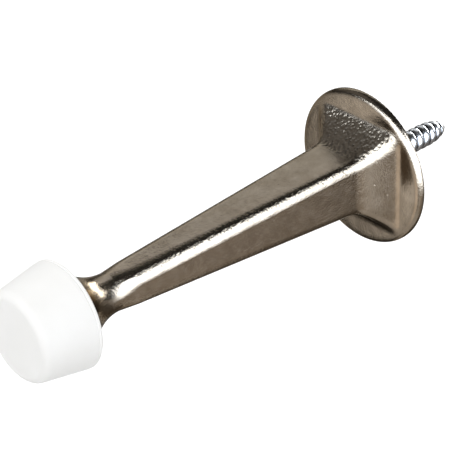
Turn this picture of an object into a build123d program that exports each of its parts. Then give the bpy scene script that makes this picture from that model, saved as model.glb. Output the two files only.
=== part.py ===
"""Rigid wall door stop: a cast metal body, a rubber tip pushed on its stud, and a screw for the wall.

The wall is the plane Y = 0, and +Z is up. The stop stands out from the wall along -Y, and its screw
runs into the wall along +Y. A station is a distance from the wall along -Y. All lengths are millimetres.
"""
import os
from math import atan2, cos, sin

from build123d import *

# Round flange that lies against the wall
flange_diameter = 30.0
flange_thickness = 1.5
flange_front_round = 1.1
flange_back_round = 0.2
back_recess_diameter = 19.0
back_recess_depth = 0.6

# Square flare that spreads the post onto the flange, with corners that reach the rim
flare_foot_width = 20.8
flare_foot_corner = 2.0
flare_height = 6.0
flare_lead_in = 1.6
flare_run_out = 1.0
flare_sections = 9

# Square post that tapers to the neck, with corners that grow rounder on the way
post_length = 48.5
post_root_width = 11.09
post_root_corner = 1.7
post_end_width = 7.02
post_end_corner = 2.45

# Neck that turns from square to round, then opens like a trumpet into a thin collar
neck_length = 4.0
neck_diameter = 7.0
neck_side_angle = 20.0
trumpet_length = 9.2
collar_diameter = 18.8
collar_edge = 0.4

# Mushroom stud that holds the rubber tip
stud_diameter = 6.0
stud_shaft_length = 3.4
stud_head_diameter = 8.4
stud_head_length = 2.6
stud_head_nose = 1.2

# Rubber tip
tip_length = 10.0
tip_rear_diameter = 19.6
tip_front_diameter = 16.2
tip_rear_round = 0.5
tip_front_round = 1.6
tip_clearance = 0.1

# Wood screw, whose thinner end is held in a hole in the body up to the shoulder of its shank
screw_held_diameter = 3.6
screw_shank_diameter = 4.2
screw_core_diameter = 3.7
screw_held_length = 12.0
screw_hole_spare_depth = 0.5
screw_shank_length = 3.0
screw_shoulder_length = 0.4
screw_reach = 21.0
screw_point_length = 5.8
screw_point_fullness = 0.6
screw_nose_bluntness = 0.35
screw_hole_clearance = 0.03
screw_end_chamfer = 0.4

# Stations worked out from the lengths above
post_start = flange_thickness + flare_height
post_end = post_start + post_length
neck_station = post_end + neck_length
collar_start = neck_station + trumpet_length
collar_face = collar_start + collar_edge
tip_face = collar_face + tip_length

stop_axis = Axis((0, 0, 0), (0, -1, 0))
# Half sections are drawn here with the radius along local x and the station along local y
half_section = Plane(origin=(0, 0, 0), x_dir=(1, 0, 0), z_dir=(0, 0, -1))


def across(station):
    """Plane square to the stop's axis, with local x along +X and local y along +Z."""
    return Plane(origin=(0, -station, 0), x_dir=(1, 0, 0), z_dir=(0, -1, 0))


def turned(outline):
    """Solid of revolution about the stop's axis from a closed outline of radius and station."""
    return revolve(half_section * make_face(outline), axis=stop_axis)


def section_from(side, bend, station):
    """Face whose outline is one side and one corner bend, repeated at each quarter turn."""
    edges = []
    for quarter in range(4):
        for edge in (side, bend):
            edges.append(edge.rotate(Axis.Z, 90 * quarter))
    return across(station) * make_face(edges)


def square_section(width, corner, station):
    """Square with rounded corners."""
    half = width / 2
    flat = half - corner
    side = Line((half, -flat), (half, flat))
    bend = CenterArc((flat, flat), corner, 0, 90)
    return section_from(side, bend, station)


def round_section(diameter, station):
    """Circle in eight arcs, which a square section can be lofted to edge by edge."""
    radius = diameter / 2
    side = CenterArc((0, 0), radius, -neck_side_angle, 2 * neck_side_angle)
    bend = CenterArc((0, 0), radius, neck_side_angle, 90 - 2 * neck_side_angle)
    return section_from(side, bend, station)


def make_flange():
    """Round disc with a well rounded front edge."""
    radius = flange_diameter / 2
    disc = extrude(across(0) * Circle(radius), flange_thickness)
    rims = disc.edges().filter_by(GeomType.CIRCLE).sort_by(Axis.Y)
    disc = fillet(rims[0], flange_front_round)
    back_rim = disc.edges().filter_by(GeomType.CIRCLE).sort_by(Axis.Y)[-1]
    return fillet(back_rim, flange_back_round)


def make_flare():
    """Horn of square sections on one cubic curve, which leads off the post and runs out along the flange."""
    taper = (post_root_width - post_end_width) / post_length
    lead_width = post_root_width + taper * flare_lead_in
    curve_widths = (post_root_width, lead_width, flare_foot_width - 2 * flare_run_out, flare_foot_width)
    curve_rises = (flare_height, flare_height - flare_lead_in, 0, 0)
    sections = []
    for index in range(flare_sections):
        share = index / (flare_sections - 1)
        rest = 1 - share
        weights = (rest**3, 3 * rest**2 * share, 3 * rest * share**2, share**3)
        width = sum(weight * value for weight, value in zip(weights, curve_widths))
        rise = sum(weight * value for weight, value in zip(weights, curve_rises))
        corner = post_root_corner + (flare_foot_corner - post_root_corner) * share
        sections.append(square_section(width, corner, flange_thickness + rise))
    return loft(sections)


def make_post():
    """Tapered square post and the short length in which it turns round."""
    root = square_section(post_root_width, post_root_corner, post_start)
    end = square_section(post_end_width, post_end_corner, post_end)
    neck = round_section(neck_diameter, neck_station)
    return loft([root, end], ruled=True) + loft([end, neck], ruled=True)


def make_collar_and_stud():
    """Trumpet, thin collar behind the rubber, and the mushroom stud in front of it."""
    neck_radius = neck_diameter / 2
    collar_radius = collar_diameter / 2
    rise = collar_radius - neck_radius
    arc_radius = (rise**2 + trumpet_length**2) / (2 * rise)
    turn = atan2(trumpet_length, arc_radius - rise)
    arc_middle = (
        neck_radius + arc_radius * (1 - cos(turn / 2)),
        neck_station + arc_radius * sin(turn / 2),
    )
    head_start = collar_face + stud_shaft_length
    head_end = head_start + stud_head_length
    stud_radius = stud_diameter / 2
    head_radius = stud_head_diameter / 2
    outline = [
        Line((0, neck_station), (neck_radius, neck_station)),
        ThreePointArc((neck_radius, neck_station), arc_middle, (collar_radius, collar_start)),
        Polyline(
            (collar_radius, collar_start),
            (collar_radius, collar_face),
            (stud_radius, collar_face),
            (stud_radius, head_start),
            (head_radius, head_start),
            (head_radius, head_end - stud_head_nose),
            (head_radius - stud_head_nose, head_end),
            (0, head_end),
            (0, neck_station),
        ),
    ]
    return turned(outline)


def make_body():
    """One casting, hollowed a little at the back and drilled for the screw."""
    body = make_flange() + make_flare() + make_post() + make_collar_and_stud()
    recess = extrude(across(0) * Circle(back_recess_diameter / 2), back_recess_depth)
    hole_radius = screw_held_diameter / 2 + screw_hole_clearance
    hole = extrude(across(0) * Circle(hole_radius), screw_held_length + screw_hole_spare_depth)
    return body - recess - hole


def make_tip():
    """Rubber tip: a blunt cone, widest at the collar, with a socket that grips the stud."""
    rear_radius = tip_rear_diameter / 2
    front_radius = tip_front_diameter / 2
    cone = turned(
        [
            Polyline(
                (0, collar_face),
                (rear_radius, collar_face),
                (front_radius, tip_face),
                (0, tip_face),
                (0, collar_face),
            )
        ]
    )
    rims = cone.edges().filter_by(GeomType.CIRCLE).sort_by(Axis.Y)
    cone = fillet(rims[0], tip_front_round)
    rear_rim = cone.edges().filter_by(GeomType.CIRCLE).sort_by(Axis.Y)[-1]
    cone = fillet(rear_rim, tip_rear_round)
    bore_radius = stud_diameter / 2 + tip_clearance
    cavity_radius = stud_head_diameter / 2 + tip_clearance
    cavity_start = collar_face + stud_shaft_length - tip_clearance
    cavity_end = collar_face + stud_shaft_length + stud_head_length + tip_clearance
    socket = turned(
        [
            Polyline(
                (0, collar_face),
                (bore_radius, collar_face),
                (bore_radius, cavity_start),
                (cavity_radius, cavity_start),
                (cavity_radius, cavity_end - stud_head_nose),
                (cavity_radius - stud_head_nose, cavity_end),
                (0, cavity_end),
                (0, collar_face),
            )
        ]
    )
    return cone - socket


def make_screw():
    """Screw without its thread: held end, plain shank, threaded core and a point shaped like a bullet."""
    held_radius = screw_held_diameter / 2
    shank_radius = screw_shank_diameter / 2
    core_radius = screw_core_diameter / 2
    shoulder_end = screw_shank_length + screw_shoulder_length
    point_start = (core_radius, screw_point_length - screw_reach)
    point_cheek = (core_radius, screw_point_length * (1 - screw_point_fullness) - screw_reach)
    point_nose = (core_radius * screw_nose_bluntness, -screw_reach)
    outline = [
        Polyline(
            (0, -screw_reach),
            (0, screw_held_length),
            (held_radius - screw_end_chamfer, screw_held_length),
            (held_radius, screw_held_length - screw_end_chamfer),
            (held_radius, back_recess_depth),
            (shank_radius, back_recess_depth),
            (shank_radius, -screw_shank_length),
            (core_radius, -shoulder_end),
            point_start,
        ),
        Bezier(point_start, point_cheek, point_nose, (0, -screw_reach)),
    ]
    return turned(outline)


pieces = {
    "cast_body": make_body(),
    "rubber_tip": make_tip(),
    "mounting_screw": make_screw(),
}
os.makedirs("parts", exist_ok=True)
for name, piece in pieces.items():
    export_step(piece, f"parts/{name}.step")
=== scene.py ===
"""Looks of the wall door stop: plated casting, white rubber tip and threaded steel screw.

The wall is the plane Y = 0, the stop stands out along -Y, the screw runs along +Y, and +Z is up.
"""
import math

import bpy
from mathutils import Matrix, Vector


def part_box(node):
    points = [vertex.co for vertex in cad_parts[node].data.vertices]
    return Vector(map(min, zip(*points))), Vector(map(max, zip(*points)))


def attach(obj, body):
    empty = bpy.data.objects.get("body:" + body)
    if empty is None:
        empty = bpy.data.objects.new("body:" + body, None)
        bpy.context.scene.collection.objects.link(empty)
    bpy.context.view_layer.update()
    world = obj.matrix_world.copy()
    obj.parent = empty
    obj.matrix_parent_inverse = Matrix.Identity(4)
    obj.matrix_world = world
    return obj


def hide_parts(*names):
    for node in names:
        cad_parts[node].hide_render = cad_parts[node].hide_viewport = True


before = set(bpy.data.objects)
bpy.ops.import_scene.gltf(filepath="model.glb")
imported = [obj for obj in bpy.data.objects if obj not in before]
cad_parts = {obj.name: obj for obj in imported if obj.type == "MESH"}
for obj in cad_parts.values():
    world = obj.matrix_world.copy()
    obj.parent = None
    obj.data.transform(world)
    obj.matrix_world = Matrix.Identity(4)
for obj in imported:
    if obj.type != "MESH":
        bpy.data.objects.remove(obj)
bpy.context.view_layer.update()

MM = 0.001
WHITE = (1, 1, 1, 1)

# Camera, fitted to the photograph's square frame, with angles in degrees
PHOTO_SIZE = 470
FOCAL_PIXELS = 2027.35
TARGET_OFFSET_PIXELS = (-13.13, 1.06)
SENSOR_WIDTH = 36.0
CAMERA_AZIMUTH = 49.43
CAMERA_ELEVATION = 31.57
CAMERA_ROLL = -2.4
CAMERA_TARGET = Vector((0, -35 * MM, 0))
CAMERA_DISTANCE = 350.35 * MM
CAMERA_CLIP_START = 10 * MM

# Noises of the materials: scale per metre, detail and roughness
METAL_CLOUDS = (260.0, 7.0, 0.75)
METAL_GLOSS_CLOUDS = (900.0, 3.0, 0.6)
METAL_WAVES = (420.0, 2.0, 0.5)
METAL_GRAIN = (3000.0, 3.0, 0.6)
CORNER_GRAIN = (2400.0, 2.0, 0.5)
RUBBER_CLOUDS = (180.0, 3.0, 0.5)
RUBBER_GRAIN = (2600.0, 2.0, 0.5)
ZINC_CLOUDS = (700.0, 4.0, 0.5)

# Plated metal: tones and roughness, and the spans of noise over which they change
METAL_DARK = (0.150, 0.120, 0.088, 1)
METAL_LIGHT = (0.195, 0.160, 0.122, 1)
METAL_GRAZING = (0.50, 0.46, 0.41, 1)
METAL_TONE_SPAN = (0.38, 0.66)
METAL_ROUGHNESS = (0.13, 0.22)
METAL_GLOSS_SPAN = (0.3, 0.7)
PEBBLE_ROUGHNESS = 0.3
# Painted shade: a near black line at the collar's edge, where the rubber tip meets the metal; the roughness
# below makes that edge dull
COLLAR_PAINTED_SHADE = (0.02, 0.018, 0.015, 1)
COLLAR_ROUGHNESS = 0.55

# Stretches along Y in which a mask of the metal goes from 0 to 1
FLARE_START = (-8.0 * MM, -6.8 * MM)
FLARE_END = (-1.5 * MM, -2.2 * MM)
POST_START = (-7.0 * MM, -9.0 * MM)
POST_END = (-65.0 * MM, -59.0 * MM)
# The collar's edge, where a line of painted shade is laid and the metal is dull
COLLAR_SHADE_AND_DULL_EDGE = (-68.2 * MM, -69.0 * MM)
SOFT_START = (-11.0 * MM, -7.5 * MM)
SOFT_END = (-1.3 * MM, -1.48 * MM)

# The same for the height over the near corner's diagonal plane, and for how far off a corner's diagonal
UPPER_SIDE = (-0.4 * MM, 0.8 * MM)
CORNER_FADE = (2.4 * MM, 1.2 * MM)

# Relief of the metal: bump depths and strengths, and edges that are rounded by shading alone
PIT_CELLS_PER_METRE = 500.0
PIT_SIZE = 0.12
PIT_DEPTH = 0.025 * MM
WAVE_DEPTH = 0.12 * MM
WAVE_STRENGTH = 0.3
GRAIN_DEPTH = 0.08 * MM
GRAIN_STRENGTH = 0.45
CORNER_DEPTH = 0.09 * MM
PEBBLES_PER_METRE = 1700.0
PEBBLE_DEPTH = 0.19 * MM
SOFT_RADIUS = 1.4 * MM
SOFT_SAMPLES = 8

# White rubber
RUBBER_DARK = (0.91, 0.905, 0.885, 1)
RUBBER_LIGHT = (0.935, 0.93, 0.912, 1)
RUBBER_TONE_SPAN = (0.3, 0.7)
RUBBER_ROUGHNESS = 0.7
RUBBER_SPECULAR = 0.12
RUBBER_GRAIN_DEPTH = 0.04 * MM
RUBBER_GRAIN_STRENGTH = 0.12

# Lip of the rubber tip: a ring just behind the tip's rear face
LIP_RADIUS = 9.42 * MM
LIP_HALF_THICKNESS = 0.34 * MM
LIP_SETBACK = 0.1 * MM
LIP_SEGMENTS = 128
LIP_SIDES = 20

# Zinc plated screw, whose grooves are darker where the height of the thread is low
ZINC_DARK = (0.255, 0.245, 0.235, 1)
ZINC_LIGHT = (0.42, 0.405, 0.385, 1)
ZINC_TONE_SPAN = (0.35, 0.7)
ZINC_ROUGHNESS = (0.18, 0.34)
ZINC_GLOSS_SPAN = (0.0, 1.0)
GROOVE_TONE = (0.03, 0.03, 0.032, 1)
GROOVE_FADE = (0.45, 0.85)
RIDGE_NAME = "ridge"

# Form of the screw, along +Y from the wall's plane
HELD_RADIUS = 1.8 * MM
HELD_CHAMFER = 0.4 * MM
SHOULDER_DEPTH = 0.6 * MM
SHANK_RADIUS = 2.1 * MM
SHANK_END = 3.0 * MM
CORE_RADIUS = 1.85 * MM
THREAD_RADIUS = 2.2 * MM
THREAD_PITCH = 1.7 * MM
THREAD_START = 3.2 * MM
THREAD_FADE_SHARE = 0.75
POINT_LENGTH = 5.8 * MM
POINT_FULLNESS = 0.6
NOSE_BLUNTNESS = 0.35
THREAD_SIDES = 72
THREAD_STEPS_PER_TURN = 26
POINT_STEPS = 90

# Floor and world
FLOOR_DROP = 130 * MM
FLOOR_SIZE = 6.0
FLOOR_COLOUR = (0.8, 0.8, 0.8, 1)
FLOOR_GLOW = 0.55
WORLD_WHITE = 1.0
WORLD_FILL = 0.6

# Soft panels for matt surfaces: direction from the stop, distance, width and watts
SOFT_PANELS = {
    "key_softbox": ((0.62, -0.45, 0.75), 0.9, 0.7, 3.6),
    "left_fill": ((-0.7, -0.5, 0.6), 1.0, 0.8, 2.2),
}

# Walls and cards for reflections alone: azimuths and elevations in degrees, distance, level and colour
WARM = (1.0, 0.93, 0.86, 1)
PALE = (0.93, 1.0, 1.08, 1)
COOL = (0.86, 1.0, 1.2, 1)
STUDIO_WALLS = {
    "dark_studio": ((-180, 180), (-6, 90), 1.6, 0.08, WHITE),
    "upper_left_wall": ((-122, -36), (20, 62), 1.4, 0.38, WHITE),
    "bend_dark_card": ((-126, -98), (38.5, 60), 1.15, 0.06, WHITE),
    "right_wall": ((-6, 133), (0, 45), 1.2, 12.0, COOL),
    "front_wall": ((-32, -6), (1, 22), 1.2, 12.0, COOL),
    "low_right_wall": ((28, 128), (-17, 0), 0.4, 10.0, COOL),
    "left_rear_wall": ((-164, -130), (14, 50), 1.2, 1.75, PALE),
    "left_side_wall": ((-130, -106), (14, 38), 1.2, 2.15, PALE),
    "rear_low_wall": ((166, 212), (4, 18), 0.9, 24.0, PALE),
    "front_floor_card": ((-14, 36), (-60, -18), 0.145, 2.3, WARM),
    "left_floor_card": ((-68, -44), (-50, -20), 0.08, 2.6, WHITE),
    "left_dark_card": ((-95, -69), (-36, -15), 0.078, 0.4, WHITE),
    "low_dark_card": ((-95, -66), (-60, -37), 0.077, 0.1, WHITE),
    "flare_floor_card": ((36, 70), (-48, -22), 0.16, 0.85, WARM),
    "far_bend_card": ((90, 103), (-50, -22), 0.16, 1.15, WARM),
    "near_bend_card": ((103, 118), (-50, -22), 0.16, 0.96, WARM),
    "right_floor_card": ((118, 139), (-50, -22), 0.16, 0.8, WARM),
    "rear_floor_card": ((139, 196), (-70, -12), 0.13, 0.25, WARM),
    "edge_card": ((-152, -112), (-46, -16), 0.17, 0.35, WHITE),
    "left_low_wall": ((-112, -66), (-30, 6), 0.25, 1.0, WHITE),
    "under_card": ((-160, -60), (-85, -50), 0.12, 0.15, WHITE),
}
WALL_STEP = 3.0


class Nodes:
    """Short calls that add and link the nodes of one material or world."""

    def __init__(self, owner):
        owner.use_nodes = True
        self.tree = owner.node_tree
        self.tree.nodes.clear()
        self.link = self.tree.links.new

    def feed(self, node, **inputs):
        """Sets each input to a constant, or links it where the value is another node's output."""
        for name, value in inputs.items():
            socket = node.inputs[name.replace("_", " ")]
            if isinstance(value, bpy.types.NodeSocket):
                self.link(value, socket)
            else:
                socket.default_value = value

    def add(self, kind, **inputs):
        """New node of a kind."""
        node = self.tree.nodes.new(kind)
        self.feed(node, **inputs)
        return node

    def place(self):
        """Place on the object."""
        return self.add("ShaderNodeTexCoord").outputs["Object"]

    def noise(self, place, scale, detail, roughness):
        """Cloudy noise about 0.5."""
        node = self.add("ShaderNodeTexNoise", Vector=place, Scale=scale, Detail=detail, Roughness=roughness)
        return node.outputs["Fac"]

    def cells(self, place, per_metre, feature):
        """Distance to the middle of the nearest of many scattered cells."""
        node = self.add("ShaderNodeTexVoronoi", Vector=place, Scale=per_metre)
        node.feature = feature
        return node.outputs["Distance"]

    def between(self, value, low, high):
        """Runs smoothly from 0 to 1 as a value goes from low to high."""
        node = self.add("ShaderNodeMapRange", Value=value, From_Min=low, From_Max=high)
        node.interpolation_type = "SMOOTHSTEP"
        return node.outputs["Result"]

    def spread(self, value, span, result):
        """Runs evenly over the result as a value goes over its span."""
        node = self.add("ShaderNodeMapRange", Value=value)
        self.feed(node, From_Min=span[0], From_Max=span[1], To_Min=result[0], To_Max=result[1])
        return node.outputs["Result"]

    def combine(self, operation, first, second):
        """Sum, product or the like of two values."""
        node = self.add("ShaderNodeMath")
        node.operation = operation
        self.link(first, node.inputs[0])
        self.link(second, node.inputs[1])
        return node.outputs["Value"]

    def size_of(self, value):
        """Value without its sign."""
        node = self.add("ShaderNodeMath", Value=value)
        node.operation = "ABSOLUTE"
        return node.outputs["Value"]

    def tones(self, value, span, dark, light):
        """Colour that runs from dark to light as a value goes over its span."""
        node = self.add("ShaderNodeValToRGB", Fac=value)
        for stop, position, colour in zip(node.color_ramp.elements, span, (dark, light)):
            stop.position = position
            stop.color = colour
        return node.outputs["Color"]

    def mix(self, kind, share, first, second):
        """Blend of two numbers or colours, which is the second where the share is 1."""
        node = self.add("ShaderNodeMix")
        node.data_type = kind
        self.feed(node, Factor=share, A=first, B=second)
        return node.outputs["Result"]

    def bump(self, under, height, depth, strength=1.0):
        """Normal with a relief laid over the one under it."""
        node = self.add("ShaderNodeBump", Height=height, Distance=depth, Strength=strength, Normal=under)
        return node.outputs["Normal"]

    def seen_ray(self):
        """1 for rays from the camera, polished surfaces and glass, and 0 for the rest."""
        path = self.add("ShaderNodeLightPath").outputs
        camera_or_polish = self.combine("MAXIMUM", path["Is Camera Ray"], path["Is Glossy Ray"])
        return self.combine("MAXIMUM", camera_or_polish, path["Is Transmission Ray"])

    def surface(self, **inputs):
        """Surface shader of the material."""
        shader = self.add("ShaderNodeBsdfPrincipled", **inputs)
        self.add("ShaderNodeOutputMaterial", Surface=shader.outputs["BSDF"])


def metal_masks(nodes, axes):
    """Masks of the collar's edge, where a line of painted shade lies and the finish is dull, and of the
    upper flare and the post's corners.
    """
    along = axes["Y"]
    # Mask of the collar's edge, which carries a line of painted shade and a dull finish
    collar = nodes.between(along, *COLLAR_SHADE_AND_DULL_EDGE)

    flare = nodes.combine("MULTIPLY", nodes.between(along, *FLARE_START), nodes.between(along, *FLARE_END))
    above_diagonal = nodes.combine("SUBTRACT", axes["Z"], axes["X"])
    upper_flare = nodes.combine("MULTIPLY", flare, nodes.between(above_diagonal, *UPPER_SIDE))

    post = nodes.combine("MULTIPLY", nodes.between(along, *POST_START), nodes.between(along, *POST_END))
    width = nodes.size_of(axes["X"])
    height = nodes.size_of(axes["Z"])
    off_corner = nodes.size_of(nodes.combine("SUBTRACT", width, height))
    post_corner = nodes.combine("MULTIPLY", post, nodes.between(off_corner, *CORNER_FADE))
    return collar, upper_flare, post_corner


def metal_relief(nodes, place, along, upper_flare, post_corner):
    """Normal of the metal: soft edges near the flange, pits, waves, grain, uneven corners and pebbles."""
    soft_length = nodes.spread(along, SOFT_START, (0.0, SOFT_RADIUS))
    soft_reach = nodes.combine("MULTIPLY", soft_length, nodes.between(along, *SOFT_END))
    soft_edge = nodes.add("ShaderNodeBevel", Radius=soft_reach)
    soft_edge.samples = SOFT_SAMPLES
    pits = nodes.between(nodes.cells(place, PIT_CELLS_PER_METRE, "F1"), 0.0, PIT_SIZE)
    pebbles = nodes.cells(place, PEBBLES_PER_METRE, "SMOOTH_F1")
    normal = nodes.bump(soft_edge.outputs["Normal"], pits, PIT_DEPTH)
    normal = nodes.bump(normal, nodes.noise(place, *METAL_WAVES), WAVE_DEPTH, WAVE_STRENGTH)
    normal = nodes.bump(normal, nodes.noise(place, *METAL_GRAIN), GRAIN_DEPTH, GRAIN_STRENGTH)
    normal = nodes.bump(normal, nodes.noise(place, *CORNER_GRAIN), CORNER_DEPTH, post_corner)
    return nodes.bump(normal, pebbles, PEBBLE_DEPTH, upper_flare)


def plated_metal():
    """Dark warm plating over a casting: cloudy tone, pits, a pebbled upper flare, and a dull collar edge
    with a line of painted shade.
    """
    material = bpy.data.materials.new("plated_metal")
    nodes = Nodes(material)
    place = nodes.place()
    axes = nodes.add("ShaderNodeSeparateXYZ", Vector=place).outputs
    collar, upper_flare, post_corner = metal_masks(nodes, axes)
    tone = nodes.tones(nodes.noise(place, *METAL_CLOUDS), METAL_TONE_SPAN, METAL_DARK, METAL_LIGHT)
    gloss = nodes.spread(nodes.noise(place, *METAL_GLOSS_CLOUDS), METAL_GLOSS_SPAN, METAL_ROUGHNESS)
    flare_gloss = nodes.mix("FLOAT", upper_flare, gloss, PEBBLE_ROUGHNESS)
    nodes.surface(
        Metallic=1.0,
        Specular_Tint=METAL_GRAZING,
        # Painted shade: the tone turns near black at the collar's edge
        Base_Color=nodes.mix("RGBA", collar, tone, COLLAR_PAINTED_SHADE),
        Roughness=nodes.mix("FLOAT", collar, flare_gloss, COLLAR_ROUGHNESS),
        Normal=metal_relief(nodes, place, axes["Y"], upper_flare, post_corner),
    )
    return material


def white_rubber():
    """Soft white rubber with a fine moulded grain."""
    material = bpy.data.materials.new("white_rubber")
    nodes = Nodes(material)
    place = nodes.place()
    clouds = nodes.noise(place, *RUBBER_CLOUDS)
    grain = nodes.add(
        "ShaderNodeBump",
        Height=nodes.noise(place, *RUBBER_GRAIN),
        Distance=RUBBER_GRAIN_DEPTH,
        Strength=RUBBER_GRAIN_STRENGTH,
    )
    nodes.surface(
        Roughness=RUBBER_ROUGHNESS,
        Specular_IOR_Level=RUBBER_SPECULAR,
        Base_Color=nodes.tones(clouds, RUBBER_TONE_SPAN, RUBBER_DARK, RUBBER_LIGHT),
        Normal=grain.outputs["Normal"],
    )
    return material


def zinc_steel():
    """Bright zinc plating with a cloudy tone and dark thread grooves."""
    material = bpy.data.materials.new("zinc_steel")
    nodes = Nodes(material)
    clouds = nodes.noise(nodes.place(), *ZINC_CLOUDS)
    tone = nodes.tones(clouds, ZINC_TONE_SPAN, ZINC_DARK, ZINC_LIGHT)
    ridge = nodes.add("ShaderNodeAttribute")
    ridge.attribute_name = RIDGE_NAME
    crest = nodes.between(ridge.outputs["Fac"], *GROOVE_FADE)
    nodes.surface(
        Metallic=1.0,
        Base_Color=nodes.mix("RGBA", crest, GROOVE_TONE, tone),
        Roughness=nodes.spread(clouds, ZINC_GLOSS_SPAN, ZINC_ROUGHNESS),
    )
    return material


def dress(node_name, material):
    """Gives a CAD node its finished material."""
    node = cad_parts[node_name]
    node.data.materials.clear()
    node.data.materials.append(material)


def new_object(name, data):
    """Object that is linked to the scene."""
    made = bpy.data.objects.new(name, data)
    bpy.context.scene.collection.objects.link(made)
    return made


def thread_height(turns):
    """Thread height, from 0 to 1, at a place counted in turns: wide round ridges with narrow grooves."""
    place = (turns % 1.0) * 2 - 1
    return math.sqrt(1 - place * place)


def point_rows(reach):
    """Places and radii along the bullet shaped point, on one cubic curve that stops short of the nose."""
    start = reach - POINT_LENGTH
    cheek = start + POINT_FULLNESS * POINT_LENGTH
    places = (start, cheek, reach, reach)
    radii = (CORE_RADIUS, CORE_RADIUS, CORE_RADIUS * NOSE_BLUNTNESS, 0.0)
    rows = []
    for index in range(1, POINT_STEPS):
        share = index / POINT_STEPS
        rest = 1 - share
        weights = (rest**3, 3 * rest**2 * share, 3 * rest * share**2, share**3)
        along = sum(weight * place for weight, place in zip(weights, places))
        radius = sum(weight * size for weight, size in zip(weights, radii))
        rows.append((along, radius))
    return rows


def screw_rows(held_end, reach):
    """Places along the screw and its radii there, without the thread."""
    rows = [
        (held_end, HELD_RADIUS - HELD_CHAMFER),
        (held_end + HELD_CHAMFER, HELD_RADIUS),
        (-SHOULDER_DEPTH, HELD_RADIUS),
        (-SHOULDER_DEPTH, SHANK_RADIUS),
        (SHANK_END, SHANK_RADIUS),
    ]
    step = THREAD_PITCH / THREAD_STEPS_PER_TURN
    count = int((reach - POINT_LENGTH - THREAD_START) / step)
    for index in range(count + 1):
        rows.append((THREAD_START + index * step, CORE_RADIUS))
    return rows + point_rows(reach)


def turned_faces(rings):
    """Faces of a closed form whose rings of vertices are followed by one vertex, its nose."""
    faces = [tuple(range(THREAD_SIDES))]
    last = (rings - 1) * THREAD_SIDES
    nose = last + THREAD_SIDES
    for ring in range(0, last, THREAD_SIDES):
        far_ring = ring + THREAD_SIDES
        for side in range(THREAD_SIDES):
            after = (side + 1) % THREAD_SIDES
            faces.append((ring + side, far_ring + side, far_ring + after, ring + after))
    for side in range(THREAD_SIDES):
        faces.append((last + side, nose, last + (side + 1) % THREAD_SIDES))
    return faces


def make_screw():
    """Screw with a real helical thread that rises from the shank and runs out on the point."""
    lowest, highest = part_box("mounting_screw")
    rows = screw_rows(lowest.y, highest.y)
    vertices = []
    ridges = []
    for along, radius in rows:
        rise = min(1.0, max(0.0, (along - THREAD_START) / THREAD_PITCH))
        fade = min(1.0, radius / (THREAD_FADE_SHARE * CORE_RADIUS))
        crest = (THREAD_RADIUS - CORE_RADIUS) * rise * fade
        for side in range(THREAD_SIDES):
            angle = 2 * math.pi * side / THREAD_SIDES
            height = thread_height(along / THREAD_PITCH - side / THREAD_SIDES)
            size = radius + crest * height
            vertices.append((size * math.cos(angle), along, size * math.sin(angle)))
            ridges.append(1 - rise * fade * (1 - height))
    vertices.append((0, highest.y, 0))
    ridges.append(1.0)
    mesh = bpy.data.meshes.new("threaded_screw")
    mesh.from_pydata(vertices, [], turned_faces(len(rows)))
    mesh.polygons.foreach_set("use_smooth", [True] * len(mesh.polygons))
    mesh.attributes.new(RIDGE_NAME, "FLOAT", "POINT").data.foreach_set("value", ridges)
    mesh.update()
    return new_object("threaded_screw", mesh)


def make_lip():
    """Thin lip of the rubber tip that covers the collar's edge."""
    tip_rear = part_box("rubber_tip")[1].y
    bpy.ops.mesh.primitive_torus_add(
        location=(0, tip_rear + LIP_SETBACK, 0),
        rotation=(math.pi / 2, 0, 0),
        major_segments=LIP_SEGMENTS,
        minor_segments=LIP_SIDES,
        major_radius=LIP_RADIUS,
        minor_radius=LIP_HALF_THICKNESS,
    )
    lip = bpy.context.object
    lip.name = "rubber_lip"
    bpy.ops.object.shade_smooth()
    return lip


def direction_of(azimuth, elevation):
    """Unit direction for an azimuth from -Y towards +X and an elevation, in degrees."""
    turn = math.radians(azimuth)
    rise = math.radians(elevation)
    flat = math.cos(rise)
    return Vector((flat * math.sin(turn), -flat * math.cos(turn), math.sin(rise)))


def camera_axes():
    """Right, up and back directions of the photograph's camera."""
    turn = math.radians(CAMERA_AZIMUTH)
    roll = math.radians(CAMERA_ROLL)
    back = direction_of(CAMERA_AZIMUTH, CAMERA_ELEVATION)
    right = Vector((math.cos(turn), math.sin(turn), 0))
    up = back.cross(right)
    rolled_right = right * math.cos(roll) + up * math.sin(roll)
    rolled_up = up * math.cos(roll) - right * math.sin(roll)
    return rolled_right, rolled_up, back


def make_camera():
    """Camera at the photograph's angle and framing."""
    right, up, back = camera_axes()
    data = bpy.data.cameras.new("camera")
    data.sensor_width = SENSOR_WIDTH
    data.sensor_fit = "HORIZONTAL"
    data.lens = FOCAL_PIXELS * SENSOR_WIDTH / PHOTO_SIZE
    data.shift_x = -TARGET_OFFSET_PIXELS[0] / PHOTO_SIZE
    data.shift_y = TARGET_OFFSET_PIXELS[1] / PHOTO_SIZE
    data.clip_start = CAMERA_CLIP_START
    camera = new_object("camera", data)
    place = CAMERA_TARGET + back * CAMERA_DISTANCE
    turn = Matrix((right, up, back)).transposed().to_4x4()
    camera.matrix_world = Matrix.Translation(place) @ turn
    bpy.context.scene.camera = camera


def floor_material():
    """Pale floor that shows white to the camera and in reflections, and keeps the shadow."""
    material = bpy.data.materials.new("floor")
    nodes = Nodes(material)
    matt = nodes.add("ShaderNodeBsdfDiffuse", Color=FLOOR_COLOUR)
    glow = nodes.add("ShaderNodeEmission", Color=WHITE, Strength=FLOOR_GLOW)
    seen_glow = nodes.add("ShaderNodeMixShader", Fac=nodes.seen_ray())
    nodes.link(glow.outputs["Emission"], seen_glow.inputs[2])
    both = nodes.add("ShaderNodeAddShader")
    nodes.link(matt.outputs["BSDF"], both.inputs[0])
    nodes.link(seen_glow.outputs["Shader"], both.inputs[1])
    nodes.add("ShaderNodeOutputMaterial", Surface=both.outputs["Shader"])
    return material


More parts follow.
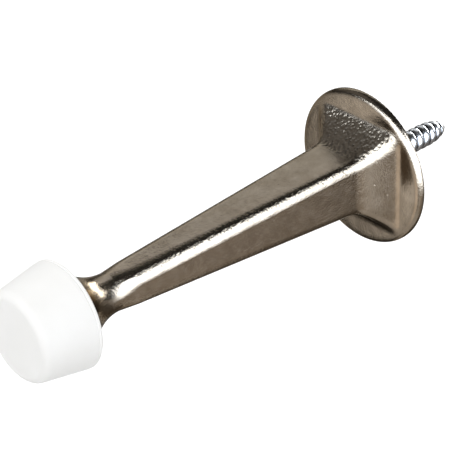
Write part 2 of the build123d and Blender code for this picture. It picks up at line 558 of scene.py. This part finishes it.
def make_floor():
    """Square floor below the stop."""
    half = FLOOR_SIZE / 2
    corners = [(-half, -half), (half, -half), (half, half), (-half, half)]
    mesh = bpy.data.meshes.new("floor")
    mesh.from_pydata([(x, y, -FLOOR_DROP) for x, y in corners], [], [(0, 1, 2, 3)])
    mesh.materials.append(floor_material())
    floor = new_object("floor", mesh)


def glow_material(name, strength, colour):
    """Plain glow."""
    material = bpy.data.materials.new(name)
    nodes = Nodes(material)
    glow = nodes.add("ShaderNodeEmission", Color=colour, Strength=strength)
    nodes.add("ShaderNodeOutputMaterial", Surface=glow.outputs["Emission"])
    return material


def make_wall(name, sweep, rise, distance, level, colour):
    """Curved studio wall round the stop, which only polished surfaces see."""
    across = round((sweep[1] - sweep[0]) / WALL_STEP)
    up = round((rise[1] - rise[0]) / WALL_STEP)
    vertices = []
    faces = []
    for row in range(up + 1):
        elevation = rise[0] + (rise[1] - rise[0]) * row / up
        for column in range(across + 1):
            azimuth = sweep[0] + (sweep[1] - sweep[0]) * column / across
            vertices.append(CAMERA_TARGET + direction_of(azimuth, elevation) * distance)
    for row in range(up):
        for column in range(across):
            corner = row * (across + 1) + column
            above = corner + across + 1
            faces.append((corner, corner + 1, above + 1, above))
    mesh = bpy.data.meshes.new(name)
    mesh.from_pydata(vertices, [], faces)
    mesh.materials.append(glow_material(name, level, colour))
    wall = new_object(name, mesh)
    wall.visible_camera = False
    wall.visible_diffuse = False
    wall.visible_transmission = False
    wall.visible_shadow = False


def make_panel(name, direction, distance, width, watts):
    """Soft square light for matt surfaces, which faces the middle of the stop."""
    data = bpy.data.lights.new(name, "AREA")
    data.shape = "SQUARE"
    data.size = width
    data.energy = watts
    light = new_object(name, data)
    aim = Vector(direction).normalized()
    light.location = CAMERA_TARGET + aim * distance
    light.rotation_euler = aim.to_track_quat("Z", "Y").to_euler()
    light.visible_glossy = False
    light.visible_camera = False


def make_world():
    """White world for the camera and reflections, and a plain soft fill for matt surfaces."""
    world = bpy.data.worlds.new("world")
    bpy.context.scene.world = world
    nodes = Nodes(world)
    fill = nodes.add("ShaderNodeBackground", Color=WHITE, Strength=WORLD_FILL)
    white = nodes.add("ShaderNodeBackground", Color=WHITE, Strength=WORLD_WHITE)
    mix = nodes.add("ShaderNodeMixShader", Fac=nodes.seen_ray())
    nodes.link(fill.outputs["Background"], mix.inputs[1])
    nodes.link(white.outputs["Background"], mix.inputs[2])
    nodes.add("ShaderNodeOutputWorld", Surface=mix.outputs["Shader"])


rubber = white_rubber()
dress("cast_body", plated_metal())
dress("rubber_tip", rubber)
lip = make_lip()
lip.data.materials.append(rubber)
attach(lip, "root")
screw = make_screw()
screw.data.materials.append(zinc_steel())
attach(screw, "root")
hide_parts("mounting_screw")

make_camera()
make_floor()
for wall_name, wall_shape in STUDIO_WALLS.items():
    make_wall(wall_name, *wall_shape)
for panel_name, panel_shape in SOFT_PANELS.items():
    make_panel(panel_name, *panel_shape)
make_world()
bpy.context.scene.view_settings.view_transform = "Standard"
